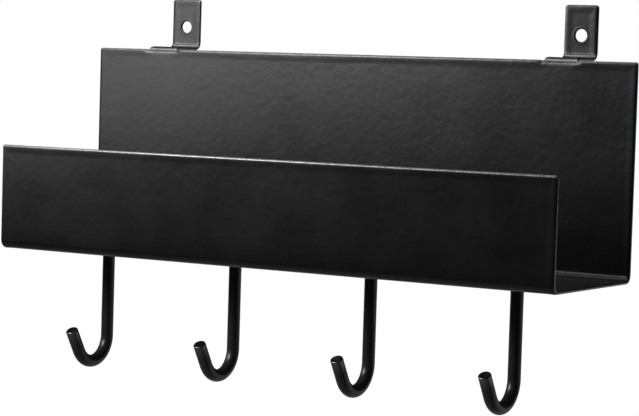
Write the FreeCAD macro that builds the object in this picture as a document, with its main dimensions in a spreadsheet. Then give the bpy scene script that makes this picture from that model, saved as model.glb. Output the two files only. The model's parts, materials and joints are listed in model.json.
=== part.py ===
import FreeCAD, Part
import os

import Sketcher

# Wall shelf with hooks: one folded steel sheet that hangs on two screw ears, with round rod hooks welded
# under its floor. Millimetres. +X runs along the shelf, +Y into the wall and +Z up.
# The origin lies on the wall, midway between the two screw holes.

SIZES = {
    "shelf_width": "400",  # the folded sheet from end to end
    "thickness": "2",  # the sheet
    "bend_radius": "3.5",  # inside radius of every fold
    "tray_depth": "99.5",  # from the lip to the back panel, inside
    "lip_height": "67.5",  # from the floor's underside to the lip's top
    "panel_height": "132.5",  # from the floor's underside to the back panel's top
    "plate_corner": "1.5",  # corner radius of the lip and the back panel
    "ear_spacing": "297",  # between the middles of the two ears
    "ear_width": "22.5",
    "ear_rise": "34.5",  # from the back panel's top to the ear's top
    "ear_corner": "2",  # corner radius of the ear
    "wall_gap": "28",  # from the back panel to the wall
    "relief_width": "0.3",  # the slit beside each ear
    "relief_depth": "0.5",  # how far that slit goes past the fold
    "screw_height": "15.7",  # from the back panel's top to the screw holes
    "screw_hole": "8",  # diameter
    "edge_break": "0.4",  # chamfer of the sheet's cut edges and of the screw holes' rims
    "hook_count": "4",
    "hook_pitch": "100.5",  # between neighbouring hooks
    "hook_drop": "76.5",  # from the floor's underside to the hook's lowest point
    "rod_diameter": "8",
    "rod_bend": "16",  # radius of the hook's bend along the rod's middle
    "tip_lean": "30",  # degrees that the hook's tip leans away from upright
    "tip_length": "16",  # straight part after the bend
    "tip_chamfer": "0.6",  # chamfer of the cut end
    "weld_leg": "0.6",  # weld bead round the rod's top
}

# Places in the sheet's own frame, whose zero is the lip's front face and the floor's underside
PANEL_FRONT = "(sizes.thickness + sizes.tray_depth)"
PANEL_REAR = "(2 * sizes.thickness + sizes.tray_depth)"
WALL = "(2 * sizes.thickness + sizes.tray_depth + sizes.wall_gap)"
TAB_FRONT = "(sizes.thickness + sizes.tray_depth + sizes.wall_gap)"
LEG_TOP = "(sizes.panel_height + sizes.thickness)"
EAR_TOP = "(sizes.panel_height + sizes.ear_rise)"
RELIEF_BOTTOM = "(sizes.panel_height - sizes.bend_radius - sizes.relief_depth)"
EAR_MIDDLE = "(sizes.ear_spacing / 2)"
HALF_RELIEF = "(sizes.ear_width / 2 + sizes.relief_width)"
OUTER_BEND = "sizes.bend_radius + sizes.thickness"
SCREW_LEVEL = "(sizes.panel_height + sizes.screw_height)"

START, END, CENTRE = range(1, 4)  # how a sketch numbers the points of its lines and circles
LEVEL_AXIS, UPRIGHT_AXIS = range(-1, -3, -1)  # and its own two axes
TINY = 0.001


def make_size_sheet(doc):
    sheet = doc.addObject("Spreadsheet::Sheet", "sizes")
    for row, (alias, value) in enumerate(SIZES.items(), 1):
        sheet.set(f"A{row}", alias)
        sheet.set(f"B{row}", value)
        sheet.setAlias(f"B{row}", alias)
    doc.recompute()


def origin_feature(body, role):
    return next(item for item in body.Origin.OriginFeatures if item.Role == role)


def add_sketch(body, name, role, offset="0"):
    """Empty sketch on one of the body's own planes, moved along the plane's normal by offset."""
    sketch = body.newObject("Sketcher::SketchObject", name)
    sketch.AttachmentSupport = (origin_feature(body, role), [""])
    sketch.MapMode = "FlatFace"
    sketch.setExpression("AttachmentOffset.Base.z", offset)
    return sketch


def bind(sketch, kind, *ends_and_expression):
    """Adds a dimension to the sketch and ties it to an expression."""
    *ends, expression = ends_and_expression
    number = sketch.addConstraint(Sketcher.Constraint(kind, *ends, sketch.evalExpression(expression)))
    sketch.setExpression(f"Constraints[{number}]", expression)


def place(sketch, kind, axis, element, point, expression):
    """Holds a point at a distance from the sketch's origin, or on the axis where that distance is 0."""
    if expression == "0":
        sketch.addConstraint(Sketcher.Constraint("PointOnObject", element, point, axis))
    else:
        bind(sketch, kind, LEVEL_AXIS, START, element, point, expression)


def draw_outline(sketch, corners):
    """Closed outline of level and upright sides. Each corner is a pair of expressions."""
    points = [FreeCAD.Vector(*map(sketch.evalExpression, corner), 0) for corner in corners]
    following = list(range(1, len(corners))) + [0]
    for side, after in enumerate(following):
        sketch.addGeometry(Part.LineSegment(points[side], points[after]))
    for side, after in enumerate(following):
        sketch.addConstraint(Sketcher.Constraint("Coincident", side, END, after, START))
        across, up = corners[side]
        if up == corners[after][1]:
            sketch.addConstraint(Sketcher.Constraint("Horizontal", side))
            place(sketch, "DistanceY", LEVEL_AXIS, side, START, up)
        else:
            sketch.addConstraint(Sketcher.Constraint("Vertical", side))
            place(sketch, "DistanceX", UPRIGHT_AXIS, side, START, across)


def draw_circle(sketch, across, up, diameter):
    middle = FreeCAD.Vector(sketch.evalExpression(across), sketch.evalExpression(up), 0)
    radius = sketch.evalExpression(diameter) / 2
    circle = sketch.addGeometry(Part.Circle(middle, FreeCAD.Vector(0, 0, 1), radius))
    place(sketch, "DistanceX", UPRIGHT_AXIS, circle, CENTRE, across)
    place(sketch, "DistanceY", LEVEL_AXIS, circle, CENTRE, up)
    bind(sketch, "Diameter", circle, diameter)


def add_extrusion(body, kind, name, sketch, length):
    """Pad or Pocket of a sketch, as far to one side of its plane as to the other."""
    feature = body.newObject(kind, name)
    feature.Profile = sketch
    feature.SideType = "Symmetric"
    feature.setExpression("Length", length)
    body.Document.recompute()
    return feature


def edges_at(shape, middles):
    """Names of the edges whose middle lies at one of the points."""
    points = [FreeCAD.Vector(*middle) for middle in middles]
    return [
        f"Edge{number}"
        for number, edge in enumerate(shape.Edges, 1)
        if any(edge.CenterOfMass.distanceToPoint(point) < TINY for point in points)
    ]


def dress_edges(body, kind, name, edges, size_name, size):
    """Fillet or Chamfer on edges of the body's last feature."""
    base = body.Tip
    feature = body.newObject(kind, name)
    feature.Base = (base, edges)
    feature.setExpression(size_name, size)
    body.Document.recompute()


def round_edges(body, name, middles, radius):
    dress_edges(body, "PartDesign::Fillet", name, edges_at(body.Tip.Shape, middles), "Radius", radius)


def chamfer_edges(body, name, edges, size):
    dress_edges(body, "PartDesign::Chamfer", name, edges, "Size", size)


def fold_tray(body, value):
    """Lip, floor and back panel: the section along the shelf, with its two folds and four corners."""
    section = add_sketch(body, "tray_section", "YZ_Plane")
    draw_outline(
        section,
        [
            ("0", "0"),
            (PANEL_REAR, "0"),
            (PANEL_REAR, "sizes.panel_height"),
            (PANEL_FRONT, "sizes.panel_height"),
            (PANEL_FRONT, "sizes.thickness"),
            ("sizes.thickness", "sizes.thickness"),
            ("sizes.thickness", "sizes.lip_height"),
            ("0", "sizes.lip_height"),
        ],
    )
    add_extrusion(body, "PartDesign::Pad", "tray", section, "sizes.shelf_width")
    sheet = value("sizes.thickness")
    inner = [(0, sheet, sheet), (0, value(PANEL_FRONT), sheet)]
    outer = [(0, 0, 0), (0, value(PANEL_REAR), 0)]
    round_edges(body, "tray_folds_inside", inner, "sizes.bend_radius")
    round_edges(body, "tray_folds_outside", outer, OUTER_BEND)
    corners = [
        (side * value("sizes.shelf_width") / 2, middle, top)
        for side in (-1, 1)
        for middle, top in (
            (sheet / 2, value("sizes.lip_height")),
            (value(PANEL_REAR) - sheet / 2, value("sizes.panel_height")),
        )
    ]
    round_edges(body, "plate_corners", corners, "sizes.plate_corner")


def fold_ears(body, value):
    """Two ears cut from the same sheet: back to the wall and then up, each with a screw hole."""
    relief = add_sketch(body, "relief_outline", "XZ_Plane", f"-{PANEL_REAR} + sizes.thickness / 2")
    left, right = f"{EAR_MIDDLE} - {HALF_RELIEF}", f"{EAR_MIDDLE} + {HALF_RELIEF}"
    above = "sizes.panel_height + sizes.thickness"
    draw_outline(relief, [(left, RELIEF_BOTTOM), (right, RELIEF_BOTTOM), (right, above), (left, above)])
    notch = add_extrusion(body, "PartDesign::Pocket", "relief", relief, "2 * sizes.thickness")

    section = add_sketch(body, "ear_section", "YZ_Plane", EAR_MIDDLE)
    draw_outline(
        section,
        [
            (PANEL_FRONT, RELIEF_BOTTOM),
            (PANEL_REAR, RELIEF_BOTTOM),
            (PANEL_REAR, "sizes.panel_height"),
            (WALL, "sizes.panel_height"),
            (WALL, EAR_TOP),
            (TAB_FRONT, EAR_TOP),
            (TAB_FRONT, LEG_TOP),
            (PANEL_FRONT, LEG_TOP),
        ],
    )
    ear = add_extrusion(body, "PartDesign::Pad", "ear", section, "sizes.ear_width")

    screw = add_sketch(body, "screw_outline", "XZ_Plane", f"-{WALL} + sizes.thickness / 2")
    draw_circle(screw, EAR_MIDDLE, SCREW_LEVEL, "sizes.screw_hole")
    hole = add_extrusion(body, "PartDesign::Pocket", "screw_hole_cut", screw, "2 * sizes.thickness")

    pair = body.newObject("PartDesign::Mirrored", "ear_pair")
    pair.Originals = [notch, ear, hole]
    pair.MirrorPlane = (origin_feature(body, "YZ_Plane"), [""])
    body.Tip = pair
    body.Document.recompute()

    middles = [side * value(EAR_MIDDLE) for side in (-1, 1)]
    top, floor = value(LEG_TOP), value("sizes.panel_height")
    inner = [(x, y, z) for x in middles for y, z in ((value(PANEL_REAR), floor), (value(TAB_FRONT), top))]
    outer = [(x, y, z) for x in middles for y, z in ((value(PANEL_FRONT), top), (value(WALL), floor))]
    round_edges(body, "ear_folds_inside", inner, "sizes.bend_radius")
    round_edges(body, "ear_folds_outside", outer, OUTER_BEND)
    tab_middle = value(WALL) - value("sizes.thickness") / 2
    half = value("sizes.ear_width") / 2
    corners = [(x + side * half, tab_middle, value(EAR_TOP)) for x in middles for side in (-1, 1)]
    round_edges(body, "ear_corners", corners, "sizes.ear_corner")


def break_cut_edges(body, value):
    """Chamfers the sheet's cut edges and the rims of the screw holes, but not the slits beside the ears."""
    shape = body.Tip.Shape
    half_width = value("sizes.shelf_width") / 2
    ear_side = value("sizes.ear_width") / 2
    tops = [value(top) for top in ("sizes.lip_height", "sizes.panel_height", EAR_TOP)]
    cut = set()
    for face in shape.Faces:
        if not isinstance(face.Surface, Part.Plane):
            continue
        middle = face.CenterOfMass
        normal = face.normalAt(0, 0)
        is_top = abs(normal.z) > 1 - TINY and any(abs(middle.z - top) < TINY for top in tops)
        from_ear = abs(abs(middle.x) - value(EAR_MIDDLE))
        at_side = abs(abs(middle.x) - half_width) < TINY or abs(from_ear - ear_side) < TINY
        if is_top or (abs(normal.x) > 1 - TINY and at_side):
            cut.update(edge.hashCode() for edge in face.Edges if edge.Length > value("sizes.thickness") + TINY)
    names = [f"Edge{number}" for number, edge in enumerate(shape.Edges, 1) if edge.hashCode() in cut]
    rims = [
        (side * value(EAR_MIDDLE), depth, value(SCREW_LEVEL))
        for side in (-1, 1)
        for depth in (value(TAB_FRONT), value(WALL))
    ]
    chamfer_edges(body, "cut_edges", names + edges_at(shape, rims), "sizes.edge_break")


def make_folded_shelf(doc):
    body = doc.addObject("PartDesign::Body", "folded_shelf")
    body.Label = "folded_shelf"
    value = body.evalExpression
    fold_tray(body, value)
    fold_ears(body, value)
    break_cut_edges(body, value)
    body.setExpression("Placement.Base.y", f"-{WALL}")
    body.setExpression("Placement.Base.z", f"-{SCREW_LEVEL}")
    return body


def draw_hook_path(sketch):
    """Down the shank, round the bend and up the leaning tip. Returns the tip's end."""
    value = sketch.evalExpression
    shank = "sizes.hook_drop - sizes.rod_bend - sizes.rod_diameter / 2"
    bend, tip = value("sizes.rod_bend"), value("sizes.tip_length")
    bend_top = FreeCAD.Vector(0, -value(shank), 0)
    bend_middle = bend_top - FreeCAD.Vector(bend, 0, 0)

    def from_bend_middle(angle, distance, beyond=0):
        turn = FreeCAD.Rotation(FreeCAD.Vector(0, 0, 1), angle)
        return bend_middle + turn.multVec(FreeCAD.Vector(distance, -beyond, 0))

    end_angle = value("sizes.tip_lean") - 180
    bend_end = from_bend_middle(end_angle, bend)
    tip_end = from_bend_middle(end_angle, bend, tip)
    shank_line = sketch.addGeometry(Part.LineSegment(FreeCAD.Vector(0, 0, 0), bend_top))
    bend_arc = sketch.addGeometry(Part.Arc(bend_end, from_bend_middle(end_angle / 2, bend), bend_top))
    tip_line = sketch.addGeometry(Part.LineSegment(bend_end, tip_end))
    sketch.addConstraint(Sketcher.Constraint("Coincident", shank_line, START, LEVEL_AXIS, START))
    sketch.addConstraint(Sketcher.Constraint("Vertical", shank_line))
    sketch.addConstraint(Sketcher.Constraint("Tangent", shank_line, END, bend_arc, END))
    sketch.addConstraint(Sketcher.Constraint("Tangent", bend_arc, START, tip_line, START))
    bind(sketch, "Distance", shank_line, shank)
    bind(sketch, "Radius", bend_arc, "sizes.rod_bend")
    bind(sketch, "Distance", tip_line, "sizes.tip_length")
    bind(sketch, "Angle", tip_line, "(90 + sizes.tip_lean) * 1 deg")
    return tip_end


def add_weld(body):
    """Bead round the welded end, widest against the floor."""
    weld = body.newObject("PartDesign::AdditiveCone", "weld")
    weld.setExpression("Radius1", "sizes.rod_diameter / 2")
    weld.setExpression("Radius2", "sizes.rod_diameter / 2 + sizes.weld_leg")
    weld.setExpression("Height", "sizes.weld_leg")
    weld.setExpression("Placement.Base.z", "-sizes.weld_leg")
    body.Document.recompute()


def repeat_along_shelf(body):
    row = body.newObject("PartDesign::LinearPattern", "hook_row")
    row.TransformMode = "Whole shape"
    row.Direction = (origin_feature(body, "X_Axis"), [""])
    row.Mode = "Spacing"
    row.setExpression("Offset", "sizes.hook_pitch")
    row.setExpression("Occurrences", "sizes.hook_count")
    body.Tip = row
    body.Document.recompute()


def make_hooks(doc):
    """A row of bent rods, each with its weld bead. The body's own zero is the first one's welded end."""
    body = doc.addObject("PartDesign::Body", "hooks")
    body.Label = "hooks"
    body.AllowCompound = True
    path = add_sketch(body, "rod_path", "YZ_Plane")
    tip_end = draw_hook_path(path)
    section = add_sketch(body, "rod_section", "XY_Plane")
    draw_circle(section, "0", "0", "sizes.rod_diameter")
    doc.recompute()
    rod = body.newObject("PartDesign::AdditivePipe", "rod")
    rod.Profile = section
    rod.Spine = (path, ["Edge1", "Edge2", "Edge3"])
    doc.recompute()
    chamfer_edges(body, "tip_rim", edges_at(body.Tip.Shape, [(0, tip_end.x, tip_end.y)]), "sizes.tip_chamfer")
    add_weld(body)
    repeat_along_shelf(body)
    body.setExpression("Placement.Base.x", "-(sizes.hook_count - 1) / 2 * sizes.hook_pitch")
    body.setExpression("Placement.Base.y", f"{PANEL_REAR} / 2 - {WALL}")
    body.setExpression("Placement.Base.z", f"-{SCREW_LEVEL}")
    return body


def check_document(doc):
    for item in doc.Objects:
        if "Invalid" in item.State or "Error" in item.State:
            raise RuntimeError(f"{item.Name} failed: {item.State}")


def export_parts(bodies):
    for body in bodies:
        if body.Shape.isNull() or not body.Shape.isValid():
            raise RuntimeError(f"{body.Label} has no valid shape")
    os.makedirs("parts", exist_ok=True)
    for body in bodies:
        body.Shape.exportStep(f"parts/{body.Label}.step")


def main():
    doc = FreeCAD.newDocument("wall_shelf")
    make_size_sheet(doc)
    bodies = [make_folded_shelf(doc), make_hooks(doc)]
    doc.recompute()
    check_document(doc)
    export_parts(bodies)


main()
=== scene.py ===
import json
import math

import bmesh
import bpy
from mathutils import Matrix, Vector, noise


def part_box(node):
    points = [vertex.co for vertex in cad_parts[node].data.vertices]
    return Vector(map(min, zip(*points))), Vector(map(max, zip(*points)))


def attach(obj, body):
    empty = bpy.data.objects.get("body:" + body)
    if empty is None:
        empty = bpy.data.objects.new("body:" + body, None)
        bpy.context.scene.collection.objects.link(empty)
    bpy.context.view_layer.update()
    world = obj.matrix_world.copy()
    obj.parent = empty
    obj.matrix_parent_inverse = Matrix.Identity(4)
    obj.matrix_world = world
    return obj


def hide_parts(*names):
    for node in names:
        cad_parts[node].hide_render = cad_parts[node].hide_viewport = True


# Wall shelf with rod hooks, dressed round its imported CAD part. Metres, +X right, +Y into the wall, +Z up.

MM = 0.001
INTO_WALL = (0.0, 1.0, 0.0)

# The camera at the photograph's place, turned left, dipped and rolled by these degrees
CAMERA_PLACE = (0.7750, -1.3056, -0.0232)
CAMERA_TURN = 31.918
CAMERA_DIP = 3.504
CAMERA_ROLL = 1.753
SENSOR = 36.0  # mm
FOCAL_LENGTH = 131.25  # mm

# The studio: a white backdrop on the wall's side and a pale floor below the shelf
WHITE = (1.0, 1.0, 1.0, 1.0)
WORLD_LIGHT = 0.03
BACKDROP_EDGE = (0.0, 0.4)  # how far a direction points into the wall where the backdrop starts and is full
BACKDROP_MIRRORED = 0.06  # how white reflections see it
FLOOR_LEVEL = -0.9
FLOOR_RADIUS = 12.0
FLOOR_SIDES = 64
FLOOR_COLOUR = (0.8, 0.8, 0.8, 1.0)
FLOOR_ROUGHNESS = 0.9
FLOOR_FADE = (0.8, 2.2)  # distances from the middle between which it fades into the backdrop
FLOOR_GLOW = 0.6  # how white it is before it fades
FLOOR_MIRRORED = 0.4  # how white reflections see it
FLOOR_BEHIND = (0.1, 0.5)  # distances behind the wall's face between which reflections come to see it

SHELF_FRONT = (0.0, -0.1315, -0.05)
# Each lamp's name, place, point it faces, width, height and radiance
LIGHTS = {
    "softbox_front_left": ((-0.302, -0.491, 0.121), SHELF_FRONT, 0.18, 0.18, 13.4),
    "softbox_left": ((-0.422, -0.375, 0.062), SHELF_FRONT, 0.18, 0.3, 3.2),
    "softbox_front": ((-0.161, -0.573, 0.121), SHELF_FRONT, 0.18, 0.18, 1.6),
    "strip_over_front": ((-0.45, -0.75, 0.4), (-0.45, -0.75, 0.0), 0.55, 0.25, 6.2),
    "strip_over_back": ((-0.45, -0.08, 0.4), (-0.45, -0.08, 0.0), 0.5, 0.2, 2.2),
    "softbox_over_back": ((0.0, -0.08, 0.4), (0.0, -0.08, 0.0), 0.3, 0.2, 1.8),
}

# The powder coat. Sizes and heights are in metres.
SHEET_COLOUR = (0.002, 0.002, 0.00205)
# The rods' tone, ten times the sheet's, is the coat's black lightened as painted glare on the thin hooks
ROD_COLOUR_WITH_GLARE = (0.02, 0.02, 0.0203)
ROUGHNESS = 0.32
GLOSS_SPREAD = 0.02
GLOSS_SIZE = 0.03
TONE_SPREAD = 0.2
CLOUD_SIZE = 0.06
CLOUD_DETAIL = 3
NOISE_RANGE = (0.3, 0.7)  # between these values lies most of a noise
PEEL_SIZE = 0.005
PEEL_HEIGHT = 0.0001
ROD_PEEL_HEIGHT = PEEL_HEIGHT / 4
GRAIN_SIZE = 0.0012
GRAIN_HEIGHT = 0.000005

# Its edge tone, from none at 0 to full metal at 1: partly coat rubbed through, and partly painted highlight
# that brightens cut edges, ear folds and hook tips
WEAR_AND_SHEEN = "edge_wear_and_sheen"
WORN_SHEEN_COLOUR = (0.24, 0.24, 0.24)
WORN_SHEEN_RANGE = (0.1, 1.0)  # wear over which the metal's tone and polish set in
BARE_SHEEN_RANGE = (0.1, 0.5)  # wear over which its metallic shine sets in
EDGE_POLISH = 0.04  # how much less rough it is than the coat
SCUFF_SIZE = 0.006
SCUFF_DETAIL = 4
SCUFF_RANGE = (0.3, 0.6)
SCUFF_LEAST = 0.75

# The folded sheet in millimetres, in its own frame: zero at the lip's front face and the floor's underside
SHEET = 2.0
FOLD = 3.5  # inside radius of every fold
TRAY_DEPTH = 99.5  # inside
LIP_HEIGHT = 67.5
PANEL_HEIGHT = 132.5
PLATE_CORNER = 1.5
WALL_GAP = 28.0
EAR_WIDTH = 22.5
EAR_RISE = 34.5
EAR_CORNER = 2.0
SCREW_HEIGHT = 15.7  # over the panel's top
EAR_DRAG = 3.7  # how far beside an ear the panel's top is drawn back with it

# Its coat in millimetres, which swells to a bead beside a cut edge and rolls off over it. The ends are the long
# edges of the lip and panel and the tabs' tops, and the sides are the cuts across the folds.
END_ROLL_WIDTH = 1.6
END_ROLL_DEPTH = 0.95
SIDE_ROLL_WIDTH = 2.2
SIDE_ROLL_DEPTH = 0.5
BEAD = 0.15
BEAD_START = 1.6
BEAD_END = 6.2
# How far in from a cut the metal tone reaches: partly coat rubbed through, partly painted highlight
WORN_SHEEN_SIDE = 0.3  # how far in from a side cut the coat is worn
WORN_SHEEN_END = 2.0  # the same at an end cut
HOLE_ROLL_WIDTH = 0.8
HOLE_ROLL_DEPTH = 0.6
HOLE_BEAD = 0.06
HOLE_BEAD_END = 2.2
UNEVEN = 0.25  # share by which the roll and bead vary along an edge
UNEVEN_LENGTH = 22.0

# The hooks in millimetres, zero at the weld
HOOK_COUNT = 4
HOOK_PITCH = 100.5
HOOK_DROP = 76.5
ROD = 4.0  # radius
ROD_BEND = 16.0
TIP_LEAN = 30  # degrees from upright
TIP_LENGTH = 16.0
TIP_ROUND = 0.8
# How far the hooks' tips are lifted to the metal tone: painted highlight standing in for glints at their ends,
# shown as rubbed tips
TIP_WEAR_AND_SHEEN = 0.7
WELD_LEG = 0.6

# How finely the meshes are cut. Lengths are in millimetres.
STEPS = 8  # over a coat's roll or bead, a rod's rounding, and the drag beside an ear
FOLD_STEPS = 12
BEND_STEPS = 40
ROD_SIDES = 48
SCREW_PATCH = 6.4  # half the square of sheet that is meshed in rings round a screw hole
PATCH_STEPS = 12
LONGEST_STEP = 8.0
LINE_DIGITS = 5  # lines that agree to this many digits are one
POINT_DIGITS = 4  # the same for points
TINY = 1e-4
SHARP = math.radians(50)  # an edge this sharp stays a crease

OUTER_FOLD = FOLD + SHEET
MIDDLE_FOLD = FOLD + SHEET / 2
FOLD_ARC = MIDDLE_FOLD * math.pi / 2
PANEL_REAR = TRAY_DEPTH + 2 * SHEET
WALL = PANEL_REAR + WALL_GAP
SCREW_LEVEL = PANEL_HEIGHT + SCREW_HEIGHT
LEFT, STRAIGHT, RIGHT = 1, 0, -1
QUARTER = [math.pi / 2 * step / STEPS for step in range(STEPS + 1)]


def make_camera():
    data = bpy.data.cameras.new("camera")
    data.sensor_width = SENSOR
    data.lens = FOCAL_LENGTH
    camera = bpy.data.objects.new("camera", data)
    bpy.context.scene.collection.objects.link(camera)
    turn = Matrix.Rotation(math.radians(CAMERA_TURN), 4, "Z")
    dip = Matrix.Rotation(math.radians(90 - CAMERA_DIP), 4, "X")
    roll = Matrix.Rotation(math.radians(CAMERA_ROLL), 4, "Z")
    camera.matrix_world = Matrix.Translation(CAMERA_PLACE) @ turn @ dip @ roll
    bpy.context.scene.camera = camera


def link(tree, source, target):
    tree.links.new(source, target)


def add_math(tree, operation, first, second):
    node = tree.nodes.new("ShaderNodeMath")
    node.operation = operation
    node.use_clamp = True
    for socket, value in zip(node.inputs, (first, second)):
        if isinstance(value, bpy.types.NodeSocket):
            link(tree, value, socket)
        else:
            socket.default_value = value
    return node.outputs["Value"]


def add_range(tree, value, from_low, from_high, to_low=0.0, to_high=1.0):
    node = tree.nodes.new("ShaderNodeMapRange")
    node.interpolation_type = "SMOOTHSTEP"
    sockets = ("From Min", "From Max", "To Min", "To Max")
    for name, number in zip(sockets, (from_low, from_high, to_low, to_high)):
        node.inputs[name].default_value = number
    link(tree, value, node.inputs["Value"])
    return node.outputs["Result"]


def background_share(tree, behind, mirrored_share):
    """How white a ray sees the background: fully to the eye, and in part in reflections of what lies behind."""
    path = tree.nodes.new("ShaderNodeLightPath")
    mirrored = add_math(tree, "ADD", path.outputs["Is Glossy Ray"], path.outputs["Is Transmission Ray"])
    mirrored = add_math(tree, "MULTIPLY", mirrored, behind)
    mirrored = add_math(tree, "MULTIPLY", mirrored, mirrored_share)
    return add_math(tree, "ADD", path.outputs["Is Camera Ray"], mirrored)


def towards_wall(tree, place):
    """How far a place, or a direction, lies towards the wall."""
    dot = tree.nodes.new("ShaderNodeVectorMath")
    dot.operation = "DOT_PRODUCT"
    dot.inputs[1].default_value = INTO_WALL
    link(tree, place, dot.inputs[0])
    return dot.outputs["Value"]


def make_world():
    """A white backdrop behind the shelf in a dim studio."""
    world = bpy.data.worlds.new("studio")
    bpy.context.scene.world = world
    world.use_nodes = True
    tree = world.node_tree
    direction = tree.nodes.new("ShaderNodeTexCoord").outputs["Generated"]
    behind = add_range(tree, towards_wall(tree, direction), *BACKDROP_EDGE)
    share = background_share(tree, behind, BACKDROP_MIRRORED)
    background = tree.nodes["Background"]
    background.inputs["Color"].default_value = WHITE
    link(tree, add_range(tree, share, 0, 1, WORLD_LIGHT, 1), background.inputs["Strength"])


def make_lights():
    for name, (place, towards, width, height, radiance) in LIGHTS.items():
        data = bpy.data.lights.new(name, "AREA")
        data.shape = "RECTANGLE"
        data.size, data.size_y = width, height
        data.energy = radiance * math.pi * width * height
        light = bpy.data.objects.new(name, data)
        bpy.context.scene.collection.objects.link(light)
        turn = (Vector(place) - Vector(towards)).to_track_quat("Z", "Y")
        light.matrix_world = Matrix.Translation(place) @ turn.to_matrix().to_4x4()


def make_floor():
    """A pale floor that fades into the white backdrop. From below it is clear, so it hides nothing."""
    bpy.ops.mesh.primitive_circle_add(
        vertices=FLOOR_SIDES, radius=FLOOR_RADIUS, fill_type="NGON", location=(0, 0, FLOOR_LEVEL)
    )
    floor = bpy.context.object
    floor.name = "floor"
    material = bpy.data.materials.new("floor_paint")
    material.use_nodes = True
    tree = material.node_tree
    shader, output = tree.nodes["Principled BSDF"], tree.nodes["Material Output"]
    shader.inputs["Base Color"].default_value = FLOOR_COLOUR
    shader.inputs["Roughness"].default_value = FLOOR_ROUGHNESS
    place = tree.nodes.new("ShaderNodeTexCoord").outputs["Object"]
    behind = add_range(tree, towards_wall(tree, place), *FLOOR_BEHIND)
    share = background_share(tree, behind, FLOOR_MIRRORED)
    away = tree.nodes.new("ShaderNodeVectorMath")
    away.operation = "LENGTH"
    link(tree, place, away.inputs[0])
    far = add_range(tree, away.outputs["Value"], *FLOOR_FADE, FLOOR_GLOW, 1)
    glow = tree.nodes.new("ShaderNodeEmission")
    link(tree, add_math(tree, "MULTIPLY", share, far), glow.inputs["Strength"])
    top = tree.nodes.new("ShaderNodeAddShader")
    link(tree, shader.outputs["BSDF"], top.inputs[0])
    link(tree, glow.outputs["Emission"], top.inputs[1])
    clear = tree.nodes.new("ShaderNodeBsdfTransparent")
    side = tree.nodes.new("ShaderNodeNewGeometry")
    surface = tree.nodes.new("ShaderNodeMixShader")
    link(tree, side.outputs["Backfacing"], surface.inputs["Fac"])
    link(tree, top.outputs["Shader"], surface.inputs[1])
    link(tree, clear.outputs["BSDF"], surface.inputs[2])
    link(tree, surface.outputs["Shader"], output.inputs["Surface"])
    floor.data.materials.append(material)


def add_noise(tree, place, size, detail=2.0):
    """Noise whose lumps are about the given size in metres."""
    node = tree.nodes.new("ShaderNodeTexNoise")
    node.inputs["Scale"].default_value = 1 / size
    node.inputs["Detail"].default_value = detail
    link(tree, place, node.inputs["Vector"])
    return node.outputs["Fac"]


def powder_coat(name, base, peel_height):
    """Satin black powder coat: orange peel, grain, uneven tone and gloss, and a dark metal tone and shine at
    its edges that is partly rubbed-through coat and partly painted highlight.
    """
    material = bpy.data.materials.new(name)
    material.use_nodes = True
    tree = material.node_tree
    shader = tree.nodes["Principled BSDF"]
    place = tree.nodes.new("ShaderNodeTexCoord").outputs["Object"]

    # Painted highlight, partly real: the attribute lifts the base colour to grey metal with a metallic shine at
    # cut edges, ear folds and hook tips, broken up by scuff noise
    wear_and_sheen = tree.nodes.new("ShaderNodeAttribute")
    wear_and_sheen.attribute_name = WEAR_AND_SHEEN
    scuffs = add_range(tree, add_noise(tree, place, SCUFF_SIZE, SCUFF_DETAIL), *SCUFF_RANGE, SCUFF_LEAST, 1)
    bare_sheen = add_math(tree, "MULTIPLY", add_range(tree, wear_and_sheen.outputs["Fac"], *BARE_SHEEN_RANGE), scuffs)
    worn_sheen = add_math(tree, "MULTIPLY", add_range(tree, wear_and_sheen.outputs["Fac"], *WORN_SHEEN_RANGE), scuffs)
    link(tree, bare_sheen, shader.inputs["Metallic"])

    tone = tree.nodes.new("ShaderNodeMix")
    tone.data_type = "RGBA"
    tone.inputs["A"].default_value = (*[value * (1 - TONE_SPREAD) for value in base], 1)
    tone.inputs["B"].default_value = (*[value * (1 + TONE_SPREAD) for value in base], 1)
    clouds = add_range(tree, add_noise(tree, place, CLOUD_SIZE, CLOUD_DETAIL), *NOISE_RANGE)
    link(tree, clouds, tone.inputs["Factor"])
    edge_sheen_tone = tree.nodes.new("ShaderNodeMix")
    edge_sheen_tone.data_type = "RGBA"
    edge_sheen_tone.inputs["B"].default_value = (*WORN_SHEEN_COLOUR, 1)
    link(tree, worn_sheen, edge_sheen_tone.inputs["Factor"])
    link(tree, tone.outputs["Result"], edge_sheen_tone.inputs["A"])
    link(tree, edge_sheen_tone.outputs["Result"], shader.inputs["Base Color"])

    glossy, dull = ROUGHNESS - GLOSS_SPREAD, ROUGHNESS + GLOSS_SPREAD
    gloss = add_range(tree, add_noise(tree, place, GLOSS_SIZE, CLOUD_DETAIL), *NOISE_RANGE, glossy, dull)
    polish = add_math(tree, "MULTIPLY", worn_sheen, EDGE_POLISH)
    link(tree, add_math(tree, "SUBTRACT", gloss, polish), shader.inputs["Roughness"])

    normal = None
    for size, height in ((PEEL_SIZE, peel_height), (GRAIN_SIZE, GRAIN_HEIGHT)):
        bump = tree.nodes.new("ShaderNodeBump")
        bump.inputs["Distance"].default_value = height
        link(tree, add_noise(tree, place, size), bump.inputs["Height"])
        if normal:
            link(tree, normal, bump.inputs["Normal"])
        normal = bump.outputs["Normal"]
    link(tree, normal, shader.inputs["Normal"])
    return material


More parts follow.
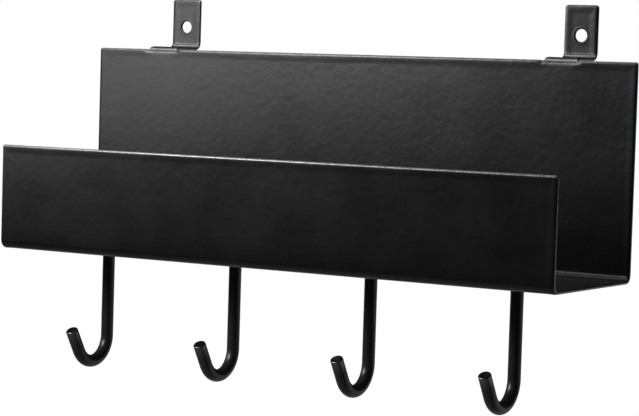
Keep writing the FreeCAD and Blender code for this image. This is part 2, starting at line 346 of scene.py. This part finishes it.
def follow(route, along):
    """Point (y, z) and left-hand normal at a distance along the middle of the sheet, seen from its end.

    The route starts down the lip. Each of its runs is a length and the quarter fold that ends it.
    """
    here, ahead = Vector((SHEET / 2, LIP_HEIGHT)), Vector((0, -1))
    for length, turn in route:
        left = Vector((-ahead.y, ahead.x))
        if along <= length or turn == STRAIGHT:
            return here + ahead * along, left
        here = here + ahead * length
        along -= length
        angle = along / MIDDLE_FOLD
        hub = here + left * turn * MIDDLE_FOLD
        if angle <= math.pi / 2:
            outward = (here - hub) * math.cos(angle) + ahead * MIDDLE_FOLD * math.sin(angle)
            return hub + outward, -outward.normalized() * turn
        along -= FOLD_ARC
        here, ahead = hub + ahead * MIDDLE_FOLD, left * turn


def run_end(route, runs):
    """Distance along the route at which its first runs and their folds end."""
    return sum(length + abs(turn) * FOLD_ARC for length, turn in route[:runs])


TO_PANEL = [(LIP_HEIGHT - OUTER_FOLD, LEFT), (TRAY_DEPTH - 2 * FOLD, LEFT)]
TRAY_ROUTE = TO_PANEL + [(PANEL_HEIGHT - OUTER_FOLD, STRAIGHT)]
EAR_ROUTE = TO_PANEL + [
    (PANEL_HEIGHT - OUTER_FOLD - FOLD, RIGHT),
    (WALL_GAP - SHEET - 2 * FOLD, LEFT),
    (EAR_RISE - SHEET - FOLD, STRAIGHT),
]
TRAY_END = run_end(TRAY_ROUTE, 3)
EAR_HALF = EAR_WIDTH / 2
EAR_ROOT = TRAY_END - FOLD  # where the fold at the ear's root starts
EAR_FOOT = run_end(EAR_ROUTE, 4) - FOLD_ARC  # and the one at the tab's foot
EAR_END = run_end(EAR_ROUTE, 5)
SCREW_ALONG = EAR_END - (EAR_RISE - SCREW_HEIGHT)


def edge_rings(roll_width, bead_end):
    """Distances from a cut edge at which the sheet gets a line of points."""
    roll = [roll_width * (1 - math.cos(turn)) for turn in QUARTER]
    bead = [roll_width + (bead_end - roll_width) * step / STEPS for step in range(1, STEPS + 1)]
    return roll + bead


def roll_drop(distance, width, depth):
    """How far the coat's skin falls off over a cut edge."""
    inside = min(max(1 - distance / width, 0), 1)
    return depth * (1 - math.sqrt(1 - inside**2))


def bead_drop(distance, start, end, height):
    """How far the skin lies below the crest of the bead beside a cut edge."""
    share = min(max((distance - start) / (end - start), 0), 1)
    return height * (1 - math.cos(math.pi * share)) / 2


END_RINGS = edge_rings(END_ROLL_WIDTH, BEAD_END)
SIDE_RINGS = edge_rings(SIDE_ROLL_WIDTH, BEAD_END)


def smooth_step(share):
    share = min(max(share, 0), 1)
    return share * share * (3 - 2 * share)


def tidy_lines(lines):
    """Sorted, each once, with more lines in the wide spaces."""
    kept = sorted({round(line, LINE_DIGITS) for line in lines})
    filled = []
    for low, high in zip(kept, kept[1:]):
        parts = math.ceil((high - low) / LONGEST_STEP)
        filled += [low + (high - low) * part / parts for part in range(parts)]
    return filled + kept[-1:]


def fold_lines(route):
    """Lines across the sheet, evenly spaced round each fold."""
    lines = []
    for number, (_, turn) in enumerate(route, 1):
        if turn != STRAIGHT:
            end = run_end(route, number)
            lines += [end - FOLD_ARC * step / FOLD_STEPS for step in range(FOLD_STEPS + 1)]
    return lines


def patch_lines(middle):
    """Lines of the square patch round a screw hole."""
    return [middle + SCREW_PATCH * (2 * step / PATCH_STEPS - 1) for step in range(PATCH_STEPS + 1)]


class Sheet:
    """The flat pattern as points and quads, then folded, with a coated skin on both faces and walls at cuts."""

    def __init__(self, half_width, ear_middle, screw_radius):
        self.half_width = half_width
        self.ear_middle = ear_middle
        self.screw_radius = screw_radius
        self.points, self.numbers, self.quads = [], {}, []

    def number(self, across, along):
        """The number of the point there, which is added if it is new."""
        key = (round(across, POINT_DIGITS), round(along, POINT_DIGITS))
        if key not in self.numbers:
            self.numbers[key] = len(self.points)
            self.points.append((across, along))
        return self.numbers[key]

    def add_cells(self, columns, rows):
        for left, right in zip(columns, columns[1:]):
            for low, high in zip(rows, rows[1:]):
                corners = [(left, low), (right, low), (right, high), (left, high)]
                self.quads.append([self.number(*corner) for corner in corners])

    def lay_out(self):
        """Quads of the flat pattern: the tray, then each ear round its screw hole."""
        columns = [side * (self.half_width - ring) for side in (-1, 1) for ring in SIDE_RINGS]
        drag = [EAR_DRAG * step / STEPS for step in range(1, STEPS + 1)]
        for middle in (-self.ear_middle, self.ear_middle):
            for side in (-1, 1):
                columns += [middle + side * (EAR_HALF - ring) for ring in SIDE_RINGS]
                columns += [middle + side * (EAR_HALF + beside) for beside in drag]
            columns += patch_lines(middle)
        columns = tidy_lines(columns)
        ear_folds = fold_lines(EAR_ROUTE)
        tray_rows = END_RINGS + fold_lines(TRAY_ROUTE) + [TRAY_END - ring for ring in END_RINGS]
        tray_rows += [line for line in ear_folds if EAR_ROOT < line < TRAY_END]
        self.add_cells(columns, tidy_lines(tray_rows))
        ear_rows = [TRAY_END + ring for ring in END_RINGS if ring < END_ROLL_WIDTH]
        ear_rows += [EAR_END - ring for ring in END_RINGS]
        ear_rows += [line for line in ear_folds if line > TRAY_END] + patch_lines(SCREW_ALONG)
        ear_rows = tidy_lines(ear_rows)
        below = [line for line in ear_rows if line < SCREW_ALONG - SCREW_PATCH + TINY]
        level = [line for line in ear_rows if abs(line - SCREW_ALONG) < SCREW_PATCH + TINY]
        above = [line for line in ear_rows if line > SCREW_ALONG + SCREW_PATCH - TINY]
        for middle in (-self.ear_middle, self.ear_middle):
            ear_columns = [line for line in columns if abs(line - middle) < EAR_HALF + TINY]
            self.add_cells(ear_columns, below)
            self.add_cells([line for line in ear_columns if line < middle - SCREW_PATCH + TINY], level)
            self.add_cells([line for line in ear_columns if line > middle + SCREW_PATCH - TINY], level)
            self.add_cells(ear_columns, above)
            self.ring_hole(
                middle,
                [line - middle for line in ear_columns if abs(line - middle) < SCREW_PATCH + TINY],
                [line - SCREW_ALONG for line in level],
            )

    @staticmethod
    def even_turn(across, along):
        """The angle round a hole that spreads the points of a square evenly."""
        eighth = math.pi / 4 / SCREW_PATCH
        if abs(across) < SCREW_PATCH:
            return math.copysign(math.pi / 2, along) - math.copysign(across, across * along) * eighth
        return along * eighth if across > 0 else math.pi - along * eighth

    def ring_hole(self, middle, across_lines, along_lines):
        """Rings from the square patch's edge in to the screw hole."""
        square = [(line, -SCREW_PATCH) for line in across_lines[:-1]]
        square += [(SCREW_PATCH, line) for line in along_lines[:-1]]
        square += [(line, SCREW_PATCH) for line in across_lines[:0:-1]]
        square += [(-SCREW_PATCH, line) for line in along_lines[:0:-1]]
        turns = [self.even_turn(a, b) for a, b in square]
        rings = []
        for ring in edge_rings(HOLE_ROLL_WIDTH, HOLE_BEAD_END):
            radius = self.screw_radius + ring
            rings.append([(radius * math.cos(turn), radius * math.sin(turn)) for turn in turns])
        rings.append(square)
        for inner, outer in zip(rings, rings[1:]):
            for here in range(len(square)):
                after = (here + 1) % len(square)
                corners = [outer[here], outer[after], inner[after], inner[here]]
                self.quads.append([self.number(middle + a, SCREW_ALONG + b) for a, b in corners])

    def beside_ear(self, across):
        """Distance out from the ear's side edge, less than zero on the ear."""
        return abs(abs(across) - self.ear_middle) - EAR_HALF

    def edges_near(self, across, along):
        """Distances inside the nearest side edge and end edge."""
        beside = self.beside_ear(across)
        if along > TRAY_END + TINY:
            return -beside, EAR_END - along
        side = self.half_width - abs(across)
        if beside > -TINY:
            return side, min(along, TRAY_END - along)
        return min(side, math.hypot(beside, TRAY_END - along)), along

    def skin(self, across, along):
        """Height of the coated skin over the middle of the sheet."""
        uneven = noise.noise(Vector((across, along, 0)) / UNEVEN_LENGTH)
        side, end = [near * (1 + UNEVEN * uneven) for near in self.edges_near(across, along)]
        drop = max(
            roll_drop(side, SIDE_ROLL_WIDTH, SIDE_ROLL_DEPTH),
            roll_drop(end, END_ROLL_WIDTH, END_ROLL_DEPTH),
        )
        drop += bead_drop(min(side, end), BEAD_START, BEAD_END, BEAD)
        to_hole = math.hypot(abs(across) - self.ear_middle, along - SCREW_ALONG) - self.screw_radius
        drop += roll_drop(to_hole, HOLE_ROLL_WIDTH, HOLE_ROLL_DEPTH)
        drop -= HOLE_BEAD - bead_drop(to_hole, HOLE_ROLL_WIDTH, HOLE_BEAD_END, HOLE_BEAD)
        return SHEET / 2 - max(drop, 0)

    def rounded_place(self, across, along):
        """Where a point goes once the plate's corners are rounded."""
        on_ear = along > TRAY_END + TINY
        radius = EAR_CORNER if on_ear else PLATE_CORNER
        side, end = self.edges_near(across, along)
        a, b = (radius - side) / radius, (radius - end) / radius
        if min(a, b) <= 0:
            return across, along
        shrink = 1 - max(a, b) / math.hypot(a, b)
        outward = math.copysign(1, across - (math.copysign(self.ear_middle, across) if on_ear else 0))
        upward = -1 if along < radius else 1
        return across - outward * radius * a * shrink, along - upward * radius * b * shrink

    def place(self, across, along, height):
        """Where a point of the skin is, in millimetres, on the folded sheet."""
        across, along = self.rounded_place(across, along)
        panel, facing = follow(TRAY_ROUTE, along)
        if along > EAR_ROOT:
            ear, ear_facing = follow(EAR_ROUTE, along)
            drawn = smooth_step(1 - self.beside_ear(across) / EAR_DRAG)
            panel = panel.lerp(ear, drawn)
            facing = facing.lerp(ear_facing, drawn).normalized()
        y, z = panel + facing * height
        return across, y - WALL, z - SCREW_LEVEL

    def wear_and_sheen(self, across, along, face):
        """How far the coat is lifted to the metal tone, partly rubbed through and partly painted highlight: at
        a cut edge, and on the front face of an ear's two folds.
        """
        side, end = self.edges_near(across, along)
        drawn = smooth_step(1 - self.beside_ear(across) / EAR_DRAG)
        # On the front face of the ear's two folds the metal tone is painted highlight
        bends = [min(max((along - start) / FOLD_ARC, 0), 1) for start in (EAR_ROOT, EAR_FOOT)]
        fold = drawn * sum(math.sin(math.pi * bend) for bend in bends) if face > 0 else 0
        return min(max(1 - side / WORN_SHEEN_SIDE, 1 - end / WORN_SHEEN_END, fold, 0), 1)

    def build(self):
        """The folded sheet as vertices and faces, and how far its coat is lifted at each vertex to the metal
        tone that is partly rubbed-through coat and partly painted highlight.
        """
        self.lay_out()
        count = len(self.points)
        vertices = []
        for face in (1, -1):
            vertices += [self.place(*point, face * self.skin(*point)) for point in self.points]
        inner = [tuple(quad) for quad in self.quads]
        outer = [tuple(number + count for number in reversed(quad)) for quad in self.quads]
        sides = {(quad[i - 1], quad[i]) for quad in inner for i in range(4)}
        walls = [(b, a, a + count, b + count) for a, b in sides if (b, a) not in sides]
        wear_and_sheen = [self.wear_and_sheen(*point, face) for face in (1, -1) for point in self.points]
        return vertices, inner + outer + sorted(walls), wear_and_sheen


def hook_rings():
    """Centre (y, z), direction of travel and radius of each ring of a hook, from its weld to its tip."""
    down = Vector((0, -1))
    rings = []
    for turn in QUARTER:
        centre = Vector((0, WELD_LEG * (math.cos(turn) - 1)))
        rings.append((centre, down, ROD + WELD_LEG * (1 - math.sin(turn))))
    straight = HOOK_DROP - ROD_BEND - ROD
    hub = Vector((-ROD_BEND, -straight))
    sweep = math.radians(180 - TIP_LEAN)
    for step in range(BEND_STEPS + 1):
        turn = sweep * step / BEND_STEPS
        out = Vector((math.cos(turn), -math.sin(turn)))
        ahead = Vector((-math.sin(turn), -math.cos(turn)))
        rings.append((hub + out * ROD_BEND, ahead, ROD))
    end, ahead, _ = rings[-1]
    for turn in QUARTER:
        along = TIP_LENGTH - TIP_ROUND * (1 - math.sin(turn))
        rings.append((end + ahead * along, ahead, ROD - TIP_ROUND * (1 - math.cos(turn))))
    return rings


def hook_mesh(across):
    """A hook as vertices and faces, and how far its coat is lifted to the metal tone at each vertex, which at
    the tip is painted highlight.
    """
    vertices, faces = [], []
    depth = PANEL_REAR / 2 - WALL
    for middle, ahead, radius in hook_rings():
        for side in range(ROD_SIDES):
            turn = math.tau * side / ROD_SIDES
            outward = Vector((-ahead.y, ahead.x)) * math.sin(turn) * radius
            y, z = middle + outward
            vertices.append((across + radius * math.cos(turn), depth + y, z - SCREW_LEVEL))
    rings = len(vertices) // ROD_SIDES
    for ring in range(rings - 1):
        for side in range(ROD_SIDES):
            here, after = ring * ROD_SIDES + side, ring * ROD_SIDES + (side + 1) % ROD_SIDES
            faces.append((here, after, after + ROD_SIDES, here + ROD_SIDES))
    faces.append(tuple(range(ROD_SIDES))[::-1])
    faces.append(tuple(range((rings - 1) * ROD_SIDES, rings * ROD_SIDES)))
    rim = (rings - len(QUARTER)) * ROD_SIDES
    # The tip rings get the metal tone: painted highlight for the glints at the hooks' ends
    wear_and_sheen = [0.0] * rim + [TIP_WEAR_AND_SHEEN] * (len(vertices) - rim)
    return vertices, faces, wear_and_sheen


def make_piece(name, vertices, faces, wear_and_sheen, material, slot, node):
    """A coated piece, in millimetres, that takes the place of a node of the CAD part."""
    mesh = bpy.data.meshes.new(name)
    mesh.from_pydata([[value * MM for value in vertex] for vertex in vertices], [], faces)
    mesh.attributes.new(WEAR_AND_SHEEN, "FLOAT", "POINT").data.foreach_set("value", wear_and_sheen)
    shape = bmesh.new()
    shape.from_mesh(mesh)
    bmesh.ops.recalc_face_normals(shape, faces=shape.faces)
    for face in shape.faces:
        face.smooth = True
    for edge in shape.edges:
        edge.smooth = edge.calc_face_angle(0) < SHARP
    shape.to_mesh(mesh)
    shape.free()
    mesh.materials.append(material)
    piece = bpy.data.objects.new(name, mesh)
    bpy.context.scene.collection.objects.link(piece)
    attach(piece, "root")
    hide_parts(node)


def make_sheet(material):
    low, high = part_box("folded_shelf")
    screws = next(mount for mount in frame["record"]["mounts"] if mount["name"] == "wall_screws")["dims"]
    sheet = Sheet((high.x - low.x) / 2 / MM, screws["spacing_x_mm"] / 2, screws["hole_r_mm"])
    make_piece("coated_shelf", *sheet.build(), material, "sheet_coat", "folded_shelf")


def make_hooks(material):
    for index in range(HOOK_COUNT):
        across = (index - (HOOK_COUNT - 1) / 2) * HOOK_PITCH
        make_piece(f"rod_hook_{index + 1}", *hook_mesh(across), material, "rod_coat", "hooks")


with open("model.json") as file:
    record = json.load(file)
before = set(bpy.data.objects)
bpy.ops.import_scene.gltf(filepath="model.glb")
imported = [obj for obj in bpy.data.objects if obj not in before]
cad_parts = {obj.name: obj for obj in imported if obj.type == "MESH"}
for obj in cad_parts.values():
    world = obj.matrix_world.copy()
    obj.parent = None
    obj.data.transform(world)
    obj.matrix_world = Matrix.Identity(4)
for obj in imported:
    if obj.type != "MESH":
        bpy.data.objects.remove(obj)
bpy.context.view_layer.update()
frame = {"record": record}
scene = bpy.context.scene
scene.view_settings.view_transform = "Standard"
make_camera()
make_world()
make_lights()
make_floor()
make_sheet(powder_coat("sheet_powder_coat", SHEET_COLOUR, PEEL_HEIGHT))
make_hooks(powder_coat("rod_powder_coat", ROD_COLOUR_WITH_GLARE, ROD_PEEL_HEIGHT))
